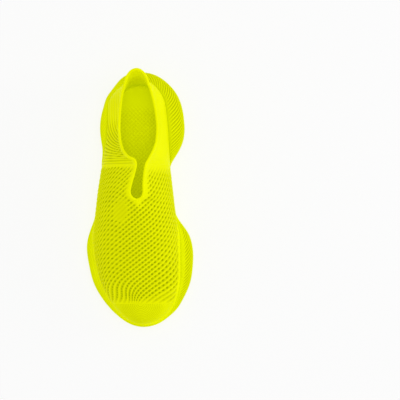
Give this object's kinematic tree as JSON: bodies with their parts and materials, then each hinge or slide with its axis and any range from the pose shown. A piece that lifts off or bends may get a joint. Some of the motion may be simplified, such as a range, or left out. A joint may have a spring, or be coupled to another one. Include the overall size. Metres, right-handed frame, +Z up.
{
  "type": "running shoe",
  "caption": "Slip-on running shoe for the right foot: lattice upper with a keyhole opening and heel tab on a flared sole with wide lobes. Bends at the ball.",
  "frame": {"origin": "on the ground under the middle of the shoe's overall length and width", "axes": "toe towards -Y, heel towards +Y, medial side (big toe) towards +X, +Z up"},
  "size_m": [0.126, 0.2994, 0.1077],
  "materials": {
    "outsole": "matte, fine tread",
    "midsole": "matte, fine ribs",
    "footbed": "matte, perforated",
    "lattice": "matte, open lattice",
    "toe": "matte, fine ribs",
    "rand": "matte, smooth",
    "rim": "matte, smooth",
    "counter": "matte, smooth"
  },
  "bodies": {
    "rearfoot": {"outsole_ball": "outsole", "outsole_heel": "outsole", "midsole_ball_pod": "midsole", "midsole_arch_bridge": "midsole", "midsole_heel_pod": "midsole", "footbed": "footbed", "vamp_flex_gore": "lattice", "vamp_instep": "lattice", "quarter_lateral": "lattice", "quarter_medial": "lattice", "quarter_heel": "lattice", "heel_counter": "counter", "collar_rim": "rim", "ball_rand_lateral": "rand", "ball_rand_medial": "rand"},
    "forefoot": {"outsole_toe": "outsole", "midsole_toe_pod": "midsole", "footbed_toe": "footbed", "toe_cap": "toe", "vamp_toe_box": "lattice", "toe_rand": "rand"},
    "heel_pull": {"heel_tab": "rim"}
  },
  "joints": [
    {"name": "toe_flex", "type": "hinge", "parent": "rearfoot", "child": "forefoot", "pos_m": [0, -0.0515, 0.012], "axis": [-1, 0, 0], "range_deg": [0, 30], "stiffness_Nm_per_rad": 3, "deforming": ["vamp_flex_gore"]},
    {"name": "heel_tab_flex", "type": "hinge", "parent": "rearfoot", "child": "heel_pull", "pos_m": [0, 0.145, 0.092], "axis": [-1, 0, 0], "range_deg": [0, 25], "stiffness_Nm_per_rad": 0.2}
  ]
}
